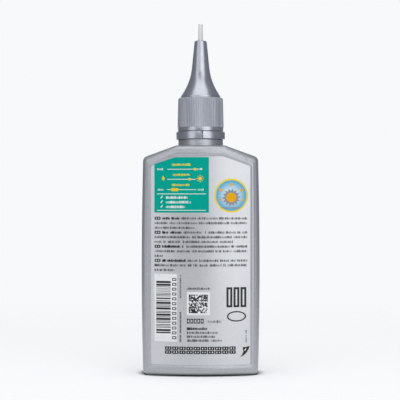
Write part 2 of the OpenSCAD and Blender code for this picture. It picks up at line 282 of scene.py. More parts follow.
def half_outline(inset, lo, hi, share, r):
    """Gives the right half of the outline from the bottom middle to the top middle."""
    f = shoulder_flat / 2 - hi * math.tan(shoulder_slope / 2)
    top = body_h - hi
    xb = side_x(lo + r, share) - inset
    xt = side_x(shoulder_z, share) - inset
    zt = top - (xt - r - f) * math.tan(shoulder_slope) - r / math.cos(shoulder_slope)
    e = xt - r + r * math.sin(shoulder_slope)
    slope = [f + (e - f) * i / slope_n for i in range(slope_n)]
    path = [(f * i / flat_n, lo) for i in range(flat_n)] + [(x, lo) for x in slope]
    for i in range(corner_n + 1):
        t = math.pi / 2 * i / corner_n
        path.append((xb - r + r * math.sin(t), lo + r - r * math.cos(t)))
    for i in range(1, side_n):
        z = lo + r + (zt - lo - r) * i / side_n
        path.append((side_x(z, share) - inset, z))
    for i in range(corner_n + 1):
        t = (math.pi / 2 - shoulder_slope) * i / corner_n
        path.append((xt - r + r * math.cos(t), zt + r * math.sin(t)))
    path += [(x, top - (x - f) * math.tan(shoulder_slope)) for x in reversed(slope)]
    return path + [(f * i / flat_n, top) for i in range(flat_n - 1, -1, -1)]


def outline_ring(side, inset, lo, hi, share, r, depth, skin):
    """Gives the whole outline as a ring in space, on the face with side -1 in front, 1 behind."""
    half = half_outline(inset, lo, hi, share, r)
    whole = half + [(-x, z) for x, z in reversed(half[1:-1])]
    return [(x, side * (depth * bow(x) - skin), z) for x, z in whole]


def softened(corners, radius, steps=3):
    """Rounds the inner corners of a path by about the radius and keeps its two ends."""
    path = [Vector(corners[0])]
    for before, corner, after in zip(corners, corners[1:], corners[2:]):
        corner = Vector(corner)
        back = Vector(before) - corner
        ahead = Vector(after) - corner
        start = corner + back.normalized() * min(radius, back.length * 0.45)
        end = corner + ahead.normalized() * min(radius, ahead.length * 0.45)
        for i in range(steps + 1):
            t = i / steps
            path.append(start * (1 - t) ** 2 + corner * 2 * t * (1 - t) + end * t**2)
    path.append(Vector(corners[-1]))
    return path


def edge_profile():
    """Gives the section from the side wall to the panel: inset at the side, at the ends, depth."""
    arc_n = 10
    crest = edge_depth - panel_depth / 2
    side_mid = (edge_side + frame_side - panel_step) / 2
    end_mid = (edge_end + frame_end - panel_step) / 2
    arc = []
    for i in range(arc_n):
        t = math.pi / 2 * i / arc_n
        rise = side_flat / 2 + (crest - side_flat / 2) * math.sin(t)
        arc.append((edge_side * (1 - math.cos(t)), edge_end * (1 - math.cos(t)), rise))
    land = [
        (edge_side, edge_end, crest),
        (side_mid, end_mid, edge_depth),
        (frame_side - panel_step, frame_end - panel_step, edge_depth - 0.14),
        (frame_side, frame_end, edge_depth - panel_depth),
        (frame_side + 0.5, frame_end + 0.5, edge_depth - panel_depth),
    ]
    return arc + list(softened(land, 0.6))


def skin_rings(skin, floor_t):
    """Gives the rings of the body from front to back, moved in by the skin."""
    profile = edge_profile()
    rings = []
    for side, row in ((-1, reversed(profile)), (1, profile)):
        for a, b, depth in row:
            r = max(max(corner_r - a, panel_r) - skin, 0.6)
            share = max(0, 1 - a / frame_side)
            rings.append(outline_ring(side, a + skin, b + floor_t, b + skin, share, r, depth, skin))
    return rings


def bridge(mesh, low, high):
    """Joins two closed loops, with the same number of corners, by a band of faces."""
    for i in range(len(low)):
        j = (i + 1) % len(low)
        mesh.faces.new((low[i], low[j], high[j], high[i]))


def loft(mesh, rings):
    """Skins a row of outline rings and closes both ends with faces in upright strips."""
    loops = [[mesh.verts.new(Vector(p) * MM) for p in ring] for ring in rings]
    for front, behind in zip(loops, loops[1:]):
        bridge(mesh, front, behind)
    for loop in (loops[0], loops[-1]):
        strips = [(i, half_n - 1 - i, half_n - 2 - i, i + 1) for i in range(last_strip - 1)]
        strips.append(range(last_strip - 1, half_n - last_strip + 1))
        for strip in strips:
            mesh.faces.new([loop[i] for i in strip])
            mesh.faces.new([loop[-i % ring_n] for i in strip])


def turn(mesh, section, steps=128):
    """Turns a section of radii and heights about the axis; a closed one needs no pole."""
    rings = []
    for r, z in section:
        count = steps if r > 1e-6 else 1
        angles = [2 * math.pi * i / steps for i in range(count)]
        rings.append([mesh.verts.new((r * MM * math.cos(t), r * MM * math.sin(t), z * MM)) for t in angles])
    pairs = list(zip(rings, rings[1:]))
    if len(rings[0]) > 1:
        pairs.append((rings[-1], rings[0]))
    for low, high in pairs:
        for i in range(steps):
            ends = (low[i % len(low)], low[(i + 1) % steps % len(low)])
            ends += (high[(i + 1) % steps % len(high)], high[i % len(high)])
            mesh.faces.new(dict.fromkeys(ends))


def place(name, mesh, finish=None, sharp=35):
    """Makes a bmesh an object with smooth faces that look outwards and edges kept sharp."""
    bmesh.ops.recalc_face_normals(mesh, faces=mesh.faces[:])
    data = bpy.data.meshes.new(name)
    mesh.to_mesh(data)
    mesh.free()
    if finish:
        data.materials.append(finish)
    data.shade_smooth()
    data.set_sharp_from_angle(angle=math.radians(sharp))
    made = bpy.data.objects.new(name, data)
    scene.collection.objects.link(made)
    return made


def carve(blank, tools):
    """Joins or cuts a blank with its tools in turn, and gives back the result as a bmesh."""
    for tool, operation in tools:
        step = blank.modifiers.new("carve", "BOOLEAN")
        step.object = tool
        step.operation = operation
        step.solver = "EXACT"
    graph = bpy.context.evaluated_depsgraph_get()
    result = bpy.data.meshes.new_from_object(blank.evaluated_get(graph))
    for spent in [blank] + [tool for tool, _ in tools]:
        bpy.data.objects.remove(spent)
    mesh = bmesh.new()
    mesh.from_mesh(result)
    return mesh


def new_tree(name, inputs):
    """Starts a Geometry Nodes tree with named inputs and gives back its input sockets."""
    kinds = {float: "NodeSocketFloat", int: "NodeSocketInt", type(None): "NodeSocketMaterial"}
    tree = bpy.data.node_groups.new(name, "GeometryNodeTree")
    tree.interface.new_socket("Geometry", in_out="INPUT", socket_type="NodeSocketGeometry")
    for label, value in inputs.items():
        socket = tree.interface.new_socket(label, in_out="INPUT", socket_type=kinds[type(value)])
        if value is not None:
            socket.default_value = value
    tree.interface.new_socket("Geometry", in_out="OUTPUT", socket_type="NodeSocketGeometry")
    return tree, add_node(tree, "NodeGroupInput").outputs


def grow(tree, inputs, start=None):
    """Runs a tree on a start mesh, with its inputs by name, and gives back a plain mesh."""
    host = bpy.data.objects.new("host", start or bpy.data.meshes.new("host"))
    scene.collection.objects.link(host)
    step = host.modifiers.new("grow", "NODES")
    step.node_group = tree
    for item in tree.interface.items_tree:
        if item.in_out == "INPUT" and item.name in inputs:
            step[item.identifier] = inputs[item.name]
    graph = bpy.context.evaluated_depsgraph_get()
    made = bpy.data.meshes.new_from_object(host.evaluated_get(graph))
    bpy.data.objects.remove(host)
    return made


def finish_tree(tree, geometry, finish):
    """Ends a Geometry Nodes tree: makes its instances real and gives them the finish."""
    real = add_node(tree, "GeometryNodeRealizeInstances", {0: geometry}).outputs[0]
    done = add_node(tree, "GeometryNodeSetMaterial", {"Geometry": real, "Material": finish}).outputs[0]
    add_node(tree, "NodeGroupOutput", {0: done})


def helical_thread():
    """Builds the tree of a screw thread: a bar bent round the axis that runs out at both ends."""
    tree, size = new_tree("helical_thread", {
        "Root Radius": 0.008, "Wall Radius": 0.008, "Crest Radius": 0.009, "Start Height": 0.0,
        "Pitch": 0.003, "Turns": 1.5, "Foot Width": 0.0013, "Crest Width": 0.0006,
        "Run Out": 0.16, "Finish": None,
    })
    rod = add_node(tree, "GeometryNodeMeshCube", {"Size": (1, 1, 1), "Vertices X": 121})
    spot = add_node(tree, "GeometryNodeInputPosition").outputs[0]
    x, y, z = add_node(tree, "ShaderNodeSeparateXYZ", {0: spot}).outputs
    along = plus(tree, x, 0.5)
    at_crest = calc(tree, "GREATER_THAN", y, 0.0)
    from_end = calc(tree, "MINIMUM", along, minus(tree, 1.0, along))
    run = calc(tree, "DIVIDE", times(tree, from_end, size["Turns"]), size["Run Out"])
    share = calc(tree, "MINIMUM", 1.0, plus(tree, run, 0.08))
    height = minus(tree, size["Crest Radius"], size["Wall Radius"])
    crest = plus(tree, size["Wall Radius"], times(tree, height, share))
    reach = minus(tree, crest, size["Root Radius"])
    radius = plus(tree, size["Root Radius"], times(tree, reach, at_crest))
    slim = minus(tree, size["Foot Width"], size["Crest Width"])
    taken = times(tree, times(tree, slim, share), at_crest)
    width = minus(tree, size["Foot Width"], taken)
    turned = times(tree, along, size["Turns"])
    angle = times(tree, turned, 2 * math.pi)
    rise = plus(tree, size["Start Height"], times(tree, turned, size["Pitch"]))
    level = plus(tree, rise, times(tree, z, width))
    px = times(tree, radius, calc(tree, "COSINE", angle))
    py = times(tree, radius, calc(tree, "SINE", angle))
    bent = add_node(tree, "ShaderNodeCombineXYZ", {0: px, 1: py, 2: level}).outputs[0]
    ridge = add_node(tree, "GeometryNodeSetPosition", {"Geometry": rod.outputs[0], "Position": bent})
    finish_tree(tree, ridge.outputs[0], size["Finish"])
    return tree


thread = helical_thread()


def shader_group(name, inputs, outputs):
    """Starts a shader node group and gives back its tree and its input sockets."""
    kinds = {float: "NodeSocketFloat", tuple: "NodeSocketColor", str: "NodeSocketVector"}
    tree = bpy.data.node_groups.new(name, "ShaderNodeTree")
    for label, value in inputs.items():
        socket = tree.interface.new_socket(label, in_out="INPUT", socket_type=kinds[type(value)])
        if not isinstance(value, str):
            socket.default_value = value
    for label, kind in outputs.items():
        tree.interface.new_socket(label, in_out="OUTPUT", socket_type=kind)
    return tree, add_node(tree, "NodeGroupInput").outputs


def metal_flake_group():
    """Builds the speckle of metal pigment: a colour that shifts from flake to flake, and height."""
    tree, given = shader_group(
        "metal_flake", {
            "Position": "vector", "Colour": (0.5, 0.5, 0.5, 1), "Flakes": 1800.0, "Contrast": 0.1,
            "Cloud": 0.05,
        }, {"Colour": "NodeSocketColor", "Height": "NodeSocketFloat"},
    )
    spot = given["Position"]
    grains = add_node(tree, "ShaderNodeTexVoronoi", {"Vector": spot, "Scale": given["Flakes"]})
    flake = add_node(tree, "ShaderNodeSeparateColor", {0: grains.outputs["Color"]}).outputs[0]
    drift = noise(tree, spot, 55.0, 3.0)
    shine = times(tree, minus(tree, flake, 0.5), given["Contrast"])
    haze = times(tree, minus(tree, drift, 0.5), given["Cloud"])
    level = plus(tree, 1.0, plus(tree, shine, haze))
    lit = {0: given["Colour"], "Scale": level}
    tint = add_node(tree, "ShaderNodeVectorMath", lit, operation="SCALE")
    add_node(tree, "NodeGroupOutput", {0: tint.outputs[0], 1: flake})
    return tree


def handling_wear_group():
    """Builds faint wear: a roughness with thin scuffs and smudges, and a mask of the scuffs."""
    tree, given = shader_group(
        "handling_wear",
        {"Position": "vector", "Roughness": 0.35, "Smudge": 0.05, "Scuffs": 0.2},
        {"Roughness": "NodeSocketFloat", "Scuff": "NodeSocketFloat"},
    )
    spot = given["Position"]
    smear = noise(tree, spot, 38.0, 4.0)
    long = vectors(tree, "MULTIPLY", spot, (1.0, 1.0, 0.12))[0]
    thin = add_node(tree, "ShaderNodeMapRange", {0: noise(tree, long, 620.0), 1: 0.66, 2: 0.72})
    patch = add_node(tree, "ShaderNodeMapRange", {0: noise(tree, spot, 24.0), 1: 0.52, 2: 0.62})
    marks = times(tree, thin.outputs[0], patch.outputs[0])
    scuff = times(tree, marks, given["Scuffs"])
    soft = times(tree, minus(tree, smear, 0.5), given["Smudge"])
    level = plus(tree, given["Roughness"], plus(tree, soft, scuff))
    add_node(tree, "NodeGroupOutput", {0: level, 1: scuff})
    return tree


metal_flake = metal_flake_group()
handling_wear = handling_wear_group()


def flakes(tree, spot, colour, **settings):
    """Adds the metal flake group in a colour and gives back its colour socket."""
    inputs = {"Position": spot, "Colour": (*colour, 1), **settings}
    return add_node(tree, "ShaderNodeGroup", inputs, node_tree=metal_flake).outputs["Colour"]


def worn(tree, spot, roughness, **settings):
    """Adds the handling wear group round a roughness and gives back its output sockets."""
    inputs = {"Position": spot, "Roughness": roughness, **settings}
    return add_node(tree, "ShaderNodeGroup", inputs, node_tree=handling_wear).outputs


def silver_plastic(name, colour, metallic, roughness, contrast, skin, grain):
    """Makes a silver pigmented plastic: flakes under a satin skin with a faint moulded grain."""
    finish, tree, spot = new_finish(name)
    colour = flakes(tree, spot, colour, Contrast=contrast)
    wear = worn(tree, spot, roughness)
    relief = plus(tree, noise(tree, spot, grain, 3.0), times(tree, wear["Scuff"], -0.8))
    bump = add_node(tree, "ShaderNodeBump", {"Strength": 0.06, "Distance": 0.00006, "Height": relief})
    surface(tree, {
        "Base Color": colour, "Metallic": metallic, "Roughness": wear["Roughness"],
        "Normal": bump.outputs[0], "Coat Weight": skin, "Coat Roughness": 0.14, "IOR": 1.5,
    })
    return finish


def rounded_block(mesh, x, y, levels):
    """Builds a block with round corners from levels of height and corner radius."""
    loops = []
    for z, r in levels:
        loop = []
        for i in range(32):
            t = 2 * math.pi * (i + 0.5) / 32
            px = math.copysign(x, math.cos(t)) + r * math.cos(t)
            py = math.copysign(y, math.sin(t)) + r * math.sin(t)
            loop.append(mesh.verts.new((px * MM, py * MM, z * MM)))
        loops.append(loop)
    for low, high in zip(loops, loops[1:]):
        bridge(mesh, low, high)
    mesh.faces.new(loops[0])
    mesh.faces.new(loops[-1])


bottle_plastic = silver_plastic(
    "silver_bottle_plastic", (0.43, 0.44, 0.47), 0.68, 0.38, contrast=0.10, skin=0.15, grain=900.0
)

outer_skin = bmesh.new()
loft(outer_skin, skin_rings(0, 0))
inner_skin = bmesh.new()
loft(inner_skin, skin_rings(wall, base_t))
neck_form = bmesh.new()
neck_section = softened([
    (0, body_h - wall), (collar_r, body_h - wall), (collar_r, collar_z), (seat_r, collar_z),
    (seat_r, bead_z), (bead_r, bead_z), (bead_r, bead_z + 0.7), (neck_r, bead_z + 1.8),
    (neck_r, rim_z), (0, rim_z),
], 0.3)
turn(neck_form, neck_section)
bore = bmesh.new()
turn(bore, [(0, body_h - wall - 1), (bore_r, body_h - wall - 1), (bore_r, rim_z + 1), (0, rim_z + 1)])
base_hollow = bmesh.new()
draft = push_up / 2
hollow_r = 4
foot_front = 0.2
rounded_block(
    base_hollow, half_w - side_bow - corner_r - foot_w - hollow_r, side_flat / 2 - foot_front - hollow_r,
    [
        (-1, hollow_r + draft / push_up), (push_up - 0.3, hollow_r - draft * 0.75),
        (push_up, hollow_r - draft - 0.3),
    ],
)
shell = carve(place("outer_skin", outer_skin), [
    (place("neck_form", neck_form), "UNION"),
    (place("inner_skin", inner_skin), "DIFFERENCE"),
    (place("bore", bore), "DIFFERENCE"),
    (place("base_hollow", base_hollow), "DIFFERENCE"),
])
shell.from_mesh(grow(thread, {
    "Root Radius": (neck_r - 0.2) * MM, "Wall Radius": neck_r * MM,
    "Crest Radius": (neck_r + thread_h) * MM, "Start Height": thread_z * MM, "Turns": float(neck_turns),
}))
bottle = place("bottle_shell", shell, bottle_plastic, sharp=38)
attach(bottle, "vessel")
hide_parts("bottle")

# Label.
# A printed silver film, glued into the front panel and bent with it.
# Its face is satin, and light slides along it in soft upright bands.

label_t = 0.12
glue_t = 0.03
label_margin = 0.2
panel_level = edge_depth - panel_depth
film_face = glue_t + label_t

film_finish, film_tree, film_spot = new_finish("silver_label_film")
film_colour = flakes(film_tree, film_spot, (0.59, 0.6, 0.62), Flakes=2600.0, Contrast=0.06, Cloud=0.04)
film_wear = worn(film_tree, film_spot, 0.38, Scuffs=0.08)
film_bump = add_node(film_tree, "ShaderNodeBump", {
    "Strength": 0.1, "Distance": 0.0002, "Height": noise(film_tree, film_spot, 60.0),
})
surface(film_tree, {
    "Base Color": film_colour, "Metallic": 0.72, "Roughness": film_wear["Roughness"],
    "Normal": film_bump.outputs[0], "IOR": 1.5,
})

film = bmesh.new()
film_inset = frame_side + label_margin
film_ends = frame_end + label_margin
loft(film, [
    outline_ring(-1, film_inset, film_ends, film_ends, 0, panel_r, panel_level, -out)
    for out in (film_face, glue_t)
])
label = place("label_film", film, film_finish)
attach(label, "vessel")
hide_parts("label")

# Print on the label.
# Thin layers of ink on the film: a teal field with sliders, a block of small print, code fields
# and rows of badges. The words are close upright strokes, and the codes are random cells.

ink_t = 0.015


def ink(name, colour, roughness=0.5, metallic=0.0, specular=0.1):
    """Makes an ink: a thin even layer with a slight mottle from the press."""
    finish, tree, spot = new_finish(name)
    surface(tree, {
        "Base Color": flakes(tree, spot, colour, Contrast=0.05), "Metallic": metallic,
        "Roughness": worn(tree, spot, roughness, Scuffs=0.06)["Roughness"], "Specular IOR Level": specular,
    })
    return finish


def ink_shape(mesh, outline, layer):
    """Lays a flat shape of ink, given by its corners in x and z, on the bowed film."""
    strip_w = 1.5
    flat = bmesh.new()
    flat.faces.new([flat.verts.new((x, 0, z)) for x, z in outline])
    left = min(x for x, _ in outline)
    right = max(x for x, _ in outline)
    cut = math.floor(left / strip_w) * strip_w + strip_w
    while cut < right:
        parts = flat.verts[:] + flat.edges[:] + flat.faces[:]
        bmesh.ops.bisect_plane(flat, geom=parts, plane_co=(cut, 0, 0), plane_no=(1, 0, 0))
        cut += strip_w
    flat.verts.index_update()
    sheets = []
    for lift in (layer, layer - 1):
        sheet = []
        for x, _, z in (v.co for v in flat.verts):
            depth = panel_level * bow(x) + film_face + lift * ink_t
            sheet.append(mesh.verts.new((x * MM, -depth * MM, z * MM)))
        sheets.append(sheet)
    for sheet in sheets:
        for face in flat.faces:
            mesh.faces.new([sheet[v.index] for v in face.verts])
    for edge in flat.edges:
        if len(edge.link_faces) == 1:
            a, b = (v.index for v in edge.verts)
            mesh.faces.new((sheets[0][a], sheets[0][b], sheets[1][b], sheets[1][a]))
    flat.free()


def bar(x0, x1, z0, z1, r=0.0):
    """Gives the corners of an upright rectangle, rounded by r."""
    if r <= 0:
        return [(x0, z0), (x1, z0), (x1, z1), (x0, z1)]
    corners = ((x1 - r, z0 + r, -90), (x1 - r, z1 - r, 0), (x0 + r, z1 - r, 90), (x0 + r, z0 + r, 180))
    path = []
    for cx, cz, start in corners:
        for i in range(6):
            t = math.radians(start + 18 * i)
            path.append((cx + r * math.cos(t), cz + r * math.sin(t)))
    return path


def disc(cx, cz, r, count=24, start=0.0):
    """Gives the corners of a disc."""
    turns = [start + 2 * math.pi * i / count for i in range(count)]
    return [(cx + r * math.cos(t), cz + r * math.sin(t)) for t in turns]


def oval_ring(mesh, centre, outer, inner, count, layer):
    """Lays a ring of ink in short pieces; outer and inner are half widths and half heights."""
    cx, cz = centre
    for i in range(count):
        t0 = 2 * math.pi * i / count
        t1 = 2 * math.pi * (i + 1) / count
        corners = ((inner, t0), (outer, t0), (outer, t1), (inner, t1))
        ink_shape(mesh, [(cx + a * math.cos(t), cz + b * math.sin(t)) for (a, b), t in corners], layer)


def wrap_group():
    """Builds the node group that bends flat print onto the bowed face of the label."""
    tree, given = new_tree("wrap_on_face", {"Depth": 0.0, "Bow": 0.0, "Half Width": 0.0, "Lift": 0.0})
    spot = add_node(tree, "GeometryNodeInputPosition").outputs[0]
    x, y, z = add_node(tree, "ShaderNodeSeparateXYZ", {0: spot}).outputs
    sideways = calc(tree, "DIVIDE", calc(tree, "ABSOLUTE", x), given["Half Width"])
    reach = calc(tree, "POWER", sideways, 2.0)
    bulge = times(tree, given["Bow"], minus(tree, 1.0, reach))
    factor = plus(tree, 1.0, calc(tree, "DIVIDE", bulge, given["Depth"]))
    level = times(tree, given["Depth"], factor)
    deep = plus(tree, level, given["Lift"])
    on_face = minus(tree, y, deep)
    bent = add_node(tree, "ShaderNodeCombineXYZ", {0: x, 1: on_face, 2: z}).outputs[0]
    moved = add_node(tree, "GeometryNodeSetPosition", {"Geometry": given["Geometry"], "Position": bent})
    add_node(tree, "NodeGroupOutput", {0: moved.outputs[0]})
    return tree


def named(sockets, name, kind=None):
    """Finds a socket by its name and, where a name repeats, by its type."""
    return next(s for s in sockets if s.name == name and kind in (None, s.type))


def printed_cells_tree():
    """Builds the tree of printed cells: a grid of small bars on the bowed face, some left out."""
    tree, size = new_tree("printed_cells", {
        "Centre X": 0.0, "Centre Z": 0.0, "Width": 0.04, "Height": 0.02, "Columns": 20, "Rows": 10,
        "Cell Width": 0.001, "Cell Height": 0.001, "Least Size": 1.0, "Kept": 1.0, "Run": 1, "Seed": 1,
        "Lift": 0.0, "Thickness": 0.000015, "Depth": 0.009, "Bow": 0.0035, "Half Width": 0.028,
        "Finish": None,
    })
    grid = add_node(tree, "GeometryNodeMeshGrid", {
        "Size X": size["Width"], "Size Y": size["Height"],
        "Vertices X": size["Columns"], "Vertices Y": size["Rows"],
    })
    index = add_node(tree, "GeometryNodeInputIndex").outputs[0]
    run = calc(tree, "FLOOR", calc(tree, "DIVIDE", index, size["Run"]))
    pick = add_node(tree, "FunctionNodeRandomValue", data_type="BOOLEAN")
    for name, value in (("ID", run), ("Probability", size["Kept"]), ("Seed", size["Seed"])):
        tree.links.new(value, named(pick.inputs, name))
    spread = add_node(tree, "FunctionNodeRandomValue", data_type="FLOAT")
    tree.links.new(size["Least Size"], named(spread.inputs, "Min", "VALUE"))
    named(spread.inputs, "Max", "VALUE").default_value = 1.0
    tree.links.new(size["Seed"], named(spread.inputs, "Seed"))
    stretch = named(spread.outputs, "Value", "VALUE")
    sides = {0: size["Cell Width"], 1: size["Thickness"], 2: size["Cell Height"]}
    cell_size = add_node(tree, "ShaderNodeCombineXYZ", sides).outputs[0]
    cell = add_node(tree, "GeometryNodeMeshCube", {"Size": cell_size})
    stood_up = {"Geometry": grid.outputs[0], "Rotation": (math.pi / 2, 0, 0)}
    upright = add_node(tree, "GeometryNodeTransform", stood_up)
    scale = add_node(tree, "ShaderNodeCombineXYZ", {0: stretch, 1: 1.0, 2: calc(tree, "SQRT", stretch)})
    all_cells = add_node(tree, "GeometryNodeInstanceOnPoints", {
        "Points": upright.outputs[0], "Selection": named(pick.outputs, "Value", "BOOLEAN"),
        "Instance": cell.outputs[0], "Scale": scale.outputs[0],
    })
    real = add_node(tree, "GeometryNodeRealizeInstances", {0: all_cells.outputs[0]})
    half_thick = times(tree, size["Thickness"], -0.5)
    middle = {0: size["Centre X"], 1: half_thick, 2: size["Centre Z"]}
    centre = add_node(tree, "ShaderNodeCombineXYZ", middle).outputs[0]
    moved = {"Geometry": real.outputs[0], "Translation": centre}
    set_in = add_node(tree, "GeometryNodeTransform", moved)
    shape = {name: size[name] for name in ("Depth", "Bow", "Half Width", "Lift")}
    bent = {"Geometry": set_in.outputs[0], **shape}
    wrap = add_node(tree, "GeometryNodeGroup", bent, node_tree=wrap_on_face)
    finish_tree(tree, wrap.outputs[0], size["Finish"])
    return tree


wrap_on_face = wrap_group()
printed_cells = printed_cells_tree()


def cells(mesh, box, columns, rows, cell, seed, kept=1.0, least=1.0, layer=0, run=1):
    """Prints a grid of cells in a box of x0, x1, z0, z1 whose edges are those of the outer cells."""
    x0, x1, z0, z1 = box
    wide, high = cell
    mesh.from_mesh(grow(printed_cells, {
        "Centre X": (x0 + x1) / 2 * MM, "Centre Z": (z0 + z1) / 2 * MM,
        "Width": (x1 - x0 - wide) * MM, "Height": (z1 - z0 - high) * MM, "Columns": columns, "Rows": rows,
        "Cell Width": wide * MM, "Cell Height": high * MM, "Least Size": float(least),
        "Kept": float(kept), "Run": run, "Seed": seed, "Lift": (film_face + layer * ink_t) * MM,
        "Thickness": ink_t * MM, "Depth": panel_level * MM,
        "Bow": panel_level * face_bow / edge_depth * MM, "Half Width": half_w * MM,
    }))


def words(mesh, x0, x1, z, high, seed, inked=0.6, kept=0.86, layer=1):
    """Prints a line of mock words: close low strokes with gaps, and taller ones among them."""
    foot = z - high / 2
    low = 0.8 * high
    step = 0.27 * high
    columns = round((x1 - x0) / step)
    cells(mesh, (x0, x1, foot, foot + low), columns, 1, (step * inked, low), seed, kept, 0.55, layer, 2)
    step = 0.47 * high
    columns = round((x1 - x0) / step)
    over = layer + 0.5
    tall = (step * inked, high)
    cells(mesh, (x0, x1, foot, foot + high), columns, 1, tall, seed + 500, 0.45, 0.6, over)


def print_piece(name, mesh, finish):
    """Finishes one colour of print as a piece on the bottle."""
    made = place(name, mesh, finish, sharp=30)
    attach(made, "vessel")


picture_x = 14.5
picture_z = 85.4
picture = (picture_x, picture_z)
hub_z = picture_z - 0.9

teal_field = bmesh.new()
field = [(-21.95, 77.3), (3.93, 77.3), (3.93, 103.55), (-11.8, 103.55), (-21.95, 100.35)]
ink_shape(teal_field, field, 1)
print_piece("print_teal_field", teal_field, ink("teal_ink", (0.0, 0.33, 0.262), 0.55, specular=0.04))

yellow = bmesh.new()
for z, x0, x1, seed in ((100.05, -13.6, -4.6, 3), (95.3, -13.1, -5.1, 5), (90.5, -13.6, -5.3, 8)):
    words(yellow, x0, x1, z, 1.2, seed, 0.58, 1.0)
oval_ring(yellow, picture, (8.05, 8.05), (7.3, 7.3), 48, 2)
print_piece("print_yellow", yellow, ink("yellow_ink", (0.83, 0.63, 0.0)))

amber = bmesh.new()
ink_shape(amber, disc(-2.7, 97.85, 0.66, 16), 3)
ink_shape(amber, disc(-5.25, 93.1, 0.66, 16), 3)
ink_shape(amber, bar(-14.1, -10.4, 87.5, 88.92, 0.7), 3)
drop = [(-17.7, 94.8), (-18.3, 93.7), (-18.35, 93.1), (-17.7, 92.5), (-17.05, 93.1), (-17.1, 93.7)]
ink_shape(amber, drop, 2)
sun_x = -0.24
sun_z = 93.4
ink_shape(amber, disc(sun_x, sun_z, 0.85, 18), 2)
for i in range(8):
    t = math.radians(45 * i)
    ink_shape(amber, disc(sun_x + 1.4 * math.cos(t), sun_z + 1.4 * math.sin(t), 0.26, 6, t), 2)
print_piece("print_amber", amber, ink("amber_ink", (0.82, 0.50, 0.0)))

white = bmesh.new()
for z, x0, x1 in ((97.85, -15.7, -2.7), (93.1, -15.7, -2.5), (88.2, -15.9, -2.2)):
    ink_shape(white, bar(x0, x1, z - 0.13, z + 0.13), 2)
for z in (86.2, 78.4):
    ink_shape(white, bar(-20.7, 2.5, z - 0.14, z + 0.14), 2)
for z, x1 in ((84.5, -6.2), (82.3, -4.6), (80.1, -7.4)):
    tick = [(-19.1, 0), (-18.7, -0.6), (-17.9, 0.7), (-18.2, 0.9), (-18.7, 0.1)]
    ink_shape(white, [(x, z + rise) for x, rise in tick], 2)
    words(white, -16.4, x1, z, 1.3, int(z * 10), 0.64, 0.93)
for x, z in ((-19.2, 97.95), (-0.6, 97.95), (-19.0, 88.25), (0.0, 88.25)):
    words(white, x - 1.3, x + 1.3, z, 1.05, int(x * 7 + z), 0.66, 1.0)
ink_shape(white, bar(-21.9, -11.2, 16.3, 48.3), 1)
ink_shape(white, bar(-6.5, 4.4, 28.9, 39.8), 1)
print_piece("print_white", white, ink("white_ink", (0.76, 0.775, 0.79)))

ground_r = 7.35
ground = bmesh.new()
ink_shape(ground, disc(picture_x, picture_z, ground_r, 48), 1)
ground_finish = ink("picture_ground_ink", (0.55, 0.68, 0.78))
ground_tree = ground_finish.node_tree
ground_spot = add_node(ground_tree, "ShaderNodeTexCoord").outputs["Object"]
off_centre = vectors(ground_tree, "SUBTRACT", ground_spot, (picture_x * MM, 0, picture_z * MM))[0]
in_plane = vectors(ground_tree, "MULTIPLY", off_centre, (1, 0, 1))[0]
ground_out = vectors(ground_tree, "LENGTH", in_plane)["Value"]
ground_share = calc(ground_tree, "DIVIDE", ground_out, ground_r * MM)
ground_colours = add_node(ground_tree, "ShaderNodeValToRGB", {0: ground_share})
pale_stop, blue_stop = ground_colours.color_ramp.elements
pale_stop.position, pale_stop.color = 0.15, (0.80, 0.84, 0.86, 1)
blue_stop.position, blue_stop.color = 0.9, (0.11, 0.40, 0.62, 1)
ground_mottle = next(n for n in ground_tree.nodes if n.type == "GROUP" and n.node_tree == metal_flake)
ground_tree.links.new(ground_colours.outputs[0], ground_mottle.inputs["Colour"])
print_piece("print_picture_ground", ground, ground_finish)

sprocket = bmesh.new()
teeth = []
for i in range(56):
    t = 2 * math.pi * i / 56
    reach = 4.1 if i % 4 in (0, 1) else 3.3
    teeth.append((picture_x + reach * math.cos(t), hub_z + reach * math.sin(t)))
ink_shape(sprocket, teeth, 2)
ink_shape(sprocket, bar(picture_x - 4.6, picture_x + 4.6, 79.3, 79.9, 0.3), 2)
print_piece("print_picture_sprocket", sprocket, ink("grey_ink", (0.26, 0.29, 0.32)))
hub = bmesh.new()
ink_shape(hub, disc(picture_x, hub_z, 2.3, 28), 3)
for x, z, r in ((-4.9, 2.6, 0.75), (4.8, 2.5, 0.75), (-5.3, -2.0, 0.6), (5.3, -2.1, 0.6), (0.0, 5.2, 0.7)):
    ink_shape(hub, disc(picture_x + x, picture_z + z, r, 14), 2)
print_piece("print_picture_hub", hub, ink("orange_ink", (0.80, 0.37, 0.0)))

black = bmesh.new()
text_z = 75.35
block_h = 6.66
for block in range(4):
    top = text_z - block_h * block
    ink_shape(black, bar(-21.85, -19.01, top - 1.42, top, 0.35), 1)
    for line in range(3):
        z = top - 0.7 - 2.22 * line
        x0 = -18.3 if line == 0 else -21.85
        x1 = 22.1 if line < 2 else (-2.9, 15.3, -17.8, -12.4)[block]
        seed = 20 + 3 * block + line
        bold_end = x0 + 9 + block if line == 0 else x0
        words(black, bold_end, x1, z, 1.3, seed)
        if line == 0:
            words(black, x0, bold_end - 0.8, z, 1.35, seed + 40, 1.0, 0.97)
bars = random.Random(7)
z = 20.2
while z < 45.1:
    high = bars.choice((0.33, 0.33, 0.66, 0.99))
    ink_shape(black, bar(-21.05, -14.2, z, min(z + high, 45.3)), 2)
    z += high + bars.choice((0.33, 0.33, 0.66))
cells(black, (-13.5, -11.5, 17.5, 46.4), 1, 13, (2.0, 1.35), 4, layer=2)
cells(black, (-5.6, 3.3, 29.85, 38.6), 21, 21, (0.43, 0.43), 11, 0.52, layer=1)
finder = ((0, 3, 0, 0.45), (0, 3, 2.55, 3), (0, 0.45, 0.45, 2.55), (2.55, 3, 0.45, 2.55), (1, 2, 1, 2))
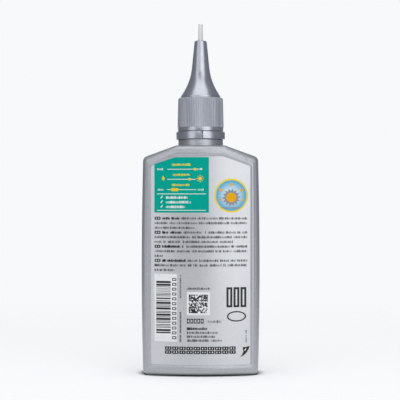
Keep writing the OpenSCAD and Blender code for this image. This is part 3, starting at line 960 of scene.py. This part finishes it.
for x, z in ((-5.6, 35.6), (-5.6, 29.85), (0.35, 35.6)):
    for x0, x1, z0, z1 in finder:
        ink_shape(black, bar(x + x0, x + x1, z + z0, z + z1), 2)
words(black, -6.5, 4.4, 41.45, 1.15, 12, 0.6, 0.95)
cells(black, (-6.5, 1.4, 24.9, 27.3), 5, 1, (1.35, 2.3), 14)
words(black, 2.6, 9.6, 25.9, 1.5, 15, 0.45, 0.95)
for line in range(4):
    z = 22.5 - 1.85 * line
    x1 = (3.0, 8.2, 6.8, 10.0)[line]
    words(black, -6.5, x1, z, 1.3, 30 + line, (0.9, 0.6, 0.6, 0.6)[line], 0.9)
cells(black, (-9.95, -9.15, 37.0, 48.3), 1, 20, (0.8, 0.36), 40, 0.92, 0.7)
cells(black, (-9.95, -9.15, 16.1, 30.3), 1, 24, (0.85, 0.42), 41, 0.95, 0.8)
cells(black, (21.2, 21.95, 15.7, 22.8), 1, 12, (0.7, 0.34), 42, 0.9, 0.7)
for column in range(3):
    x = 12.2 + 3.35 * column
    for x0, x1, z0, z1 in ((0, 1, 32.5, 42), (1.8, 2.8, 32.5, 42), (1, 1.8, 41, 42), (1, 1.8, 32.5, 33.5)):
        ink_shape(black, bar(x + x0, x + x1, z0, z1), 1)
oval_ring(black, (17, 28.2), (4.6, 2.5), (3.9, 1.9), 36, 1)
badge_w = 3.38
badge_h = 1.85
for row in range(2):
    for column in range(10):
        x = -16.9 + badge_w * column
        z = 12.35 - badge_h * row
        ink_shape(black, bar(x, x + 3.12, z, z + 1.65, 0.3), 1)
leaf = [
    (18.6, 8.8), (20.4, 9.6), (21.8, 10.9), (22.8, 12.5), (23.4, 14.1), (21.7, 13.6), (19.9, 13.5),
    (20.3, 11.5), (19.7, 10.0),
]
ink_shape(black, leaf, 1)
print_piece("print_black", black, ink("black_ink", (0.035, 0.036, 0.04), 0.36))

on_black = bmesh.new()
cells(on_black, (-5.98, 0.88, 25.4, 26.8), 5, 1, (0.38, 1.2), 14, layer=1)
cells(on_black, (-13.1, -11.9, 17.9, 46.0), 1, 13, (1.2, 0.55), 4, layer=3)
for block in range(4):
    z = text_z - block_h * block - 0.71
    cells(on_black, (-21.2, -19.65, z - 0.35, z + 0.35), 2, 1, (0.4, 0.7), 50 + block, 1.0, 0.7, 1)
for row in range(2):
    for column in range(10):
        x = -15.34 + badge_w * column
        z = 13.17 - badge_h * row
        seed = 60 + 10 * row + column
        cells(on_black, (x - 0.8, x + 0.8, z - 0.38, z + 0.38), 2, 1, (0.4, 0.76), seed, 1.0, 0.7, 1)
ink_shape(on_black, [(20.7, 12.0), (21.1, 11.8), (21.7, 12.7), (21.4, 13.1)], 2)
print_piece("print_silver_marks", on_black, ink("silver_ink", (0.82, 0.83, 0.84), 0.4, 0.1))

# Snap ring.
# A glossy ring moulded in darker silver plastic, snapped under the bead of the neck.
# It has a slit and a small notch in front, where it splits when the cap is first opened.

ring_r = 11.8
ring_z = collar_z + 0.15
ring_top = ring_z + 3.6
slit_x = 0.7
slit_w = 0.35
notch = 1.1

closure_colour = (0.47, 0.49, 0.54)
closure_plastic = silver_plastic(
    "silver_closure_plastic", closure_colour, 0.8, 0.28, contrast=0.08, skin=0.2, grain=1400.0
)
hoop = bmesh.new()
ring_gap = 0.15
lip_h = 1.5
hoop_section = softened([
    (seat_r + 0.6, ring_z), (ring_r, ring_z), (ring_r, ring_top), (bead_r + ring_gap, ring_top),
    (bead_r + ring_gap, ring_z + lip_h), (seat_r + ring_gap, ring_z + lip_h),
    (seat_r + ring_gap, ring_z), (seat_r + 0.6, ring_z),
], 0.35, 4)
turn(hoop, hoop_section[:-1], 160)
slot_cut = bmesh.new()
bmesh.ops.create_cube(slot_cut, size=1)
slit_centre = (slit_x + slit_w / 2, -10.6, ring_z + 2)
slit_box = (slit_w, 4, 6)
for corner in slot_cut.verts:
    corner.co = [(c + share * size) * MM for c, share, size in zip(slit_centre, corner.co, slit_box)]
notch_cut = bmesh.new()
notch_outline = ((-notch, 1), (slit_w, 1), (slit_w, -notch), (0, -notch), (-notch, 0))
notch_depth = 0.6
for y in (notch_depth - ring_r, -13):
    verge = [((slit_x + x) * MM, y * MM, (ring_top + z) * MM) for x, z in notch_outline]
    notch_cut.faces.new([notch_cut.verts.new(p) for p in verge])
verges = [face.verts[:] for face in notch_cut.faces]
bridge(notch_cut, *verges)
ring_mesh = carve(place("hoop", hoop), [
    (place("slot_cut", slot_cut), "DIFFERENCE"),
    (place("notch_cut", notch_cut), "DIFFERENCE"),
])
snap_ring = place("snap_ring", ring_mesh, closure_plastic, sharp=40)
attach(snap_ring, "vessel")
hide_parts("tamper_ring")

# Spout cap.
# One moulding in the same plastic: a skirt with 72 ribs and a thread inside, a deck with a
# sealing plug under it, and a flared cone that ends round the dosing tube.

cap_z = ring_top + 0.2
deck_low = rim_z + 0.05
deck_top = deck_low + 1.2
band_r = 11
rib_z = cap_z + 2
rib_r_low = 11.1
rib_r_high = 10.8
rib_depth = 0.35
skirt_round = 1
spout_foot_r = 9.55
flare_angle = 31
flare_r = 26
cone_angle = 5.5
cone_len = 13
tip_r = 3
tip_round = 0.7
spout_wall = 1.2
plug_r = bore_r - 0.1
passage_r = plug_r - 0.8
tube_r = 1.2
tube_in = 9.8
tip_bore_r = tube_r + 0.05
skirt_bore_r = neck_r + thread_h + 0.2


def moulded_ribs():
    """Builds the tree of moulded ribs: a bead along the given path, repeated round the axis."""
    tree, size = new_tree("moulded_ribs", {"Count": 72, "Rib Radius": 0.00027, "Finish": None})
    path = add_node(tree, "GeometryNodeMeshToCurve", {"Mesh": size["Geometry"]})
    around = {"Resolution": 8, "Radius": size["Rib Radius"]}
    bead = add_node(tree, "GeometryNodeCurvePrimitiveCircle", around)
    rib = add_node(tree, "GeometryNodeCurveToMesh", {
        "Curve": path.outputs[0], "Profile Curve": bead.outputs[0], "Fill Caps": True,
    })
    posts = add_node(tree, "GeometryNodePoints", {"Count": size["Count"]})
    index = add_node(tree, "GeometryNodeInputIndex").outputs[0]
    share = calc(tree, "DIVIDE", plus(tree, index, 0.5), size["Count"])
    angle = times(tree, share, 2 * math.pi)
    facing = add_node(tree, "ShaderNodeCombineXYZ", {2: angle}).outputs[0]
    row = add_node(tree, "GeometryNodeInstanceOnPoints", {
        "Points": posts.outputs[0], "Instance": rib.outputs[0], "Rotation": facing,
    })
    finish_tree(tree, row.outputs[0], size["Finish"])
    return tree


low_slope = math.radians(flare_angle)
cone_slope = math.radians(cone_angle)
cone_foot_r = tip_r + cone_len * math.tan(cone_slope)
flare_foot_r = cone_foot_r + flare_r * (math.cos(cone_slope) - math.cos(low_slope))
foot_z = deck_top + 0.9
flare_z = foot_z + (spout_foot_r - flare_foot_r) / math.tan(low_slope)
cone_z = flare_z + flare_r * (math.sin(low_slope) - math.sin(cone_slope))
tip_z = cone_z + cone_len
tube_seat_z = tip_z - tube_in
flare = []
for i in range(25):
    t = low_slope + (cone_slope - low_slope) * i / 24
    flare.append((
        cone_foot_r + flare_r * (math.cos(cone_slope) - math.cos(t)),
        cone_z - flare_r * (math.sin(t) - math.sin(cone_slope)),
    ))
round_edge = []
rib_bead_r = 0.37
rib_line = [(rib_r_low - rib_bead_r, rib_z - 0.02)]
for i in range(9):
    t = math.pi / 2 * i / 8
    r = rib_r_high - (rib_r_high - spout_foot_r) / 1.6 * (1 - math.cos(t))
    z = deck_top - skirt_round * (1 - math.sin(t))
    round_edge.append((r - rib_depth * math.cos(t), z))
    rib_line.append((r - rib_bead_r * math.cos(t), z - rib_bead_r * math.sin(t)))
tip_edge = []
for i in range(7):
    t = math.pi / 2 * i / 6
    tip_edge.append((tip_r - tip_round * (1 - math.cos(t)), tip_z - tip_round * (1 - math.sin(t))))
inner_flare = [(min(passage_r, r - spout_wall), z) for r, z in flare]
section = [(skirt_bore_r + 1, cap_z), (band_r, cap_z), (band_r, rib_z), (rib_r_low - rib_depth, rib_z)]
section += round_edge + [(spout_foot_r, deck_top), (spout_foot_r, foot_z)] + flare + tip_edge
section += [
    (tip_bore_r, tip_z), (tip_bore_r, tube_seat_z),
    (tip_r + tube_in * math.tan(cone_slope) - spout_wall, tube_seat_z),
]
section += [p for p in reversed(inner_flare) if p[0] < passage_r]
section += [
    (passage_r, rim_z - 2.5), (plug_r, rim_z - 2.5), (plug_r, deck_low), (skirt_bore_r, deck_low),
    (skirt_bore_r, cap_z), (skirt_bore_r + 1, cap_z),
]
spout_gloss = 0.285
grip_matt = 0.13
spout_plastic = silver_plastic(
    "silver_spout_plastic", closure_colour, 0.8, spout_gloss, contrast=0.08, skin=0.2, grain=1400.0
)
spout_tree = spout_plastic.node_tree
spout_spot = add_node(spout_tree, "ShaderNodeTexCoord").outputs["Object"]
level_spot = vectors(spout_tree, "MULTIPLY", spout_spot, (1, 1, 0))[0]
from_axis = vectors(spout_tree, "LENGTH", level_spot)["Value"]
height_up = add_node(spout_tree, "ShaderNodeSeparateXYZ", {0: spout_spot}).outputs[2]
above_band = calc(spout_tree, "GREATER_THAN", height_up, rib_z * MM)
below_edge = calc(spout_tree, "LESS_THAN", height_up, (deck_top - 0.3) * MM)
on_ribs = calc(spout_tree, "GREATER_THAN", from_axis, (rib_r_high - 0.8) * MM)
in_grip = times(spout_tree, on_ribs, times(spout_tree, above_band, below_edge))
grip_level = plus(spout_tree, spout_gloss, times(spout_tree, in_grip, grip_matt))
spout_wear = next(n for n in spout_tree.nodes if n.type == "GROUP" and n.node_tree == handling_wear)
spout_tree.links.new(grip_level, spout_wear.inputs["Roughness"])

moulding = bmesh.new()
turn(moulding, softened(section, 0.22)[:-1], 144)
rib_path = bpy.data.meshes.new("rib_path")
rib_links = [(i, i + 1) for i in range(len(rib_line) - 1)]
rib_path.from_pydata([(r * MM, 0, z * MM) for r, z in rib_line], rib_links, [])
moulding.from_mesh(grow(moulded_ribs(), {"Count": 72, "Rib Radius": rib_bead_r * MM}, rib_path))
cap_thread_z = thread_z - 1.08
moulding.from_mesh(grow(thread, {
    "Root Radius": (skirt_bore_r + 0.2) * MM, "Wall Radius": skirt_bore_r * MM,
    "Crest Radius": (neck_r + 0.2) * MM, "Start Height": cap_thread_z * MM, "Turns": 1.25,
}))
spout = place("spout_moulding", moulding, spout_plastic, sharp=38)
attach(spout, "cap")
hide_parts("spout_cap")

# Dosing tube.
# A thin soft tube in natural, milky plastic that stands out of the tip of the cone.
# A collar holds it from inside, and its free end is cut square.

tube_out = 8.1
tube_end_r = 1.03
tube_bore_r = 0.5

tube_finish, tube_tree, tube_spot = new_finish("milky_tube_plastic")
surface(tube_tree, {
    "Base Color": flakes(tube_tree, tube_spot, (0.7, 0.71, 0.72), Contrast=0.03, Cloud=0.1),
    "Roughness": worn(tube_tree, tube_spot, 0.38)["Roughness"], "Transmission Weight": 0.1, "IOR": 1.45,
})

collar_top = tube_seat_z - 0.05
collar_low = collar_top - 1.4
tube_collar_r = 1.9
tube_section = softened([
    (tube_r, collar_low), (tube_collar_r, collar_low), (tube_collar_r, collar_top), (tube_r, collar_top),
    (tube_r, tip_z), (tube_end_r, tip_z + tube_out), (tube_bore_r, tip_z + tube_out),
    (tube_bore_r, collar_low), (tube_r, collar_low),
], 0.12)
tube_mesh = bmesh.new()
turn(tube_mesh, tube_section[:-1], 64)
tube = place("dosing_tube_soft", tube_mesh, tube_finish)
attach(tube, "tube")
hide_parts("dosing_tube")

# Oil.
# A clear amber chain oil fills the bottle to its fill line, behind the opaque wall.

oil_finish, oil_tree, oil_spot = new_finish("amber_oil")
swirl = noise(oil_tree, oil_spot, 40.0)
oil_roughness = add_node(oil_tree, "ShaderNodeMapRange", {0: swirl, 3: 0.04, 4: 0.08})
surface(oil_tree, {
    "Base Color": (0.62, 0.40, 0.08, 1), "Roughness": oil_roughness.outputs[0],
    "Transmission Weight": 0.8, "IOR": 1.47,
})
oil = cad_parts["lubricant"]
oil.data.materials.clear()
oil.data.materials.append(oil_finish)
